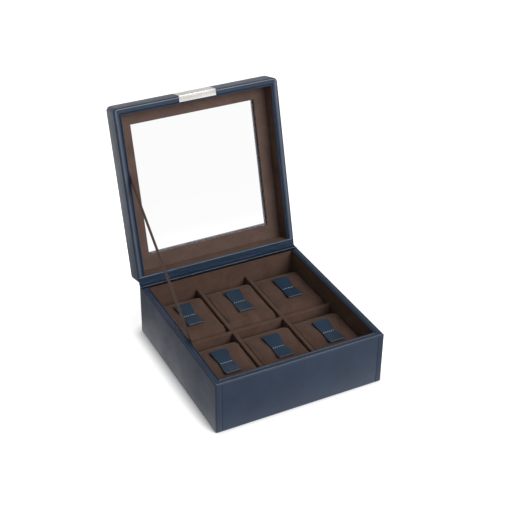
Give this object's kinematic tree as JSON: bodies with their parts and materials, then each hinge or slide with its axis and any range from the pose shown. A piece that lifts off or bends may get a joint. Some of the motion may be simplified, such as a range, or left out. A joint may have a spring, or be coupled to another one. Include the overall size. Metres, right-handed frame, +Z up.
{
  "type": "watch box",
  "caption": "Leather-covered watch box standing open: suede tray of crowned cushions with strap tabs, ribbon-stayed lid with a glass window and a metal lift plate.",
  "frame": {"origin": "middle of the base's underside, on the surface the box stands on", "axes": "+X to the right seen from the front, +Y back towards the hinge, +Z up; the front is at -Y"},
  "size_m": [0.205, 0.2886, 0.266],
  "materials": {
    "navy_leather": "soft satin, fine grain",
    "tab_leather": "satin, smooth",
    "brown_suede": "matt micro-suede",
    "ribbon": "ribbed grosgrain",
    "board": "raw fibreboard",
    "foam": "open-cell foam",
    "glass": "polished clear",
    "plate_metal": "polished with a fine brush",
    "pad": "matt felt-like"
  },
  "bodies": {
    "base": {"base_back_board": "board", "base_back_lining": "brown_suede", "base_floor_board": "board", "base_floor_lining": "brown_suede", "base_front_board": "board", "base_front_leather": "navy_leather", "base_front_lining": "brown_suede", "base_left_board": "board", "base_left_lining": "brown_suede", "base_pad": "pad", "base_right_board": "board", "base_right_lining": "brown_suede", "base_rim_leather": "navy_leather", "base_side_leather": "navy_leather", "divider_cross": "brown_suede", "divider_left": "brown_suede", "divider_right": "brown_suede", "hinge_strip": "navy_leather", "ribbon_stay": "ribbon"},
    "lid": {"glass_pane": "glass", "lid_back_board": "board", "lid_back_lining": "brown_suede", "lid_front_board": "board", "lid_front_lining": "brown_suede", "lid_left_board": "board", "lid_left_lining": "brown_suede", "lid_mat": "brown_suede", "lid_outer_leather": "navy_leather", "lid_plate": "plate_metal", "lid_right_board": "board", "lid_right_lining": "brown_suede", "lid_rim_leather": "navy_leather", "window_back_rail": "board", "window_front_rail": "board", "window_left_rail": "board", "window_right_rail": "board"},
    "cushion_front_left": {"cushion_front_left": "brown_suede", "foam_front_left": "foam", "tab_front_left": "tab_leather"},
    "cushion_front_middle": {"cushion_front_middle": "brown_suede", "foam_front_middle": "foam", "tab_front_middle": "tab_leather"},
    "cushion_front_right": {"cushion_front_right": "brown_suede", "foam_front_right": "foam", "tab_front_right": "tab_leather"},
    "cushion_rear_left": {"cushion_rear_left": "brown_suede", "foam_rear_left": "foam", "tab_rear_left": "tab_leather"},
    "cushion_rear_middle": {"cushion_rear_middle": "brown_suede", "foam_rear_middle": "foam", "tab_rear_middle": "tab_leather"},
    "cushion_rear_right": {"cushion_rear_right": "brown_suede", "foam_rear_right": "foam", "tab_rear_right": "tab_leather"}
  },
  "joints": [
    {"name": "lid_hinge", "type": "hinge", "parent": "base", "child": "lid", "pos_m": [0, 0.1039, 0.0648], "axis": [-1, 0, 0], "range_deg": [-105.2, 0], "deforming": ["hinge_strip", "ribbon_stay"]},
    {"name": "cushion_front_left_lift", "type": "slide", "parent": "base", "child": "cushion_front_left", "axis": [0, 0, 1], "range_m": [0, 0.07]},
    {"name": "cushion_front_middle_lift", "type": "slide", "parent": "base", "child": "cushion_front_middle", "axis": [0, 0, 1], "range_m": [0, 0.07]},
    {"name": "cushion_front_right_lift", "type": "slide", "parent": "base", "child": "cushion_front_right", "axis": [0, 0, 1], "range_m": [0, 0.07]},
    {"name": "cushion_rear_left_lift", "type": "slide", "parent": "base", "child": "cushion_rear_left", "axis": [0, 0, 1], "range_m": [0, 0.07]},
    {"name": "cushion_rear_middle_lift", "type": "slide", "parent": "base", "child": "cushion_rear_middle", "axis": [0, 0, 1], "range_m": [0, 0.07]},
    {"name": "cushion_rear_right_lift", "type": "slide", "parent": "base", "child": "cushion_rear_right", "axis": [0, 0, 1], "range_m": [0, 0.07]}
  ]
}
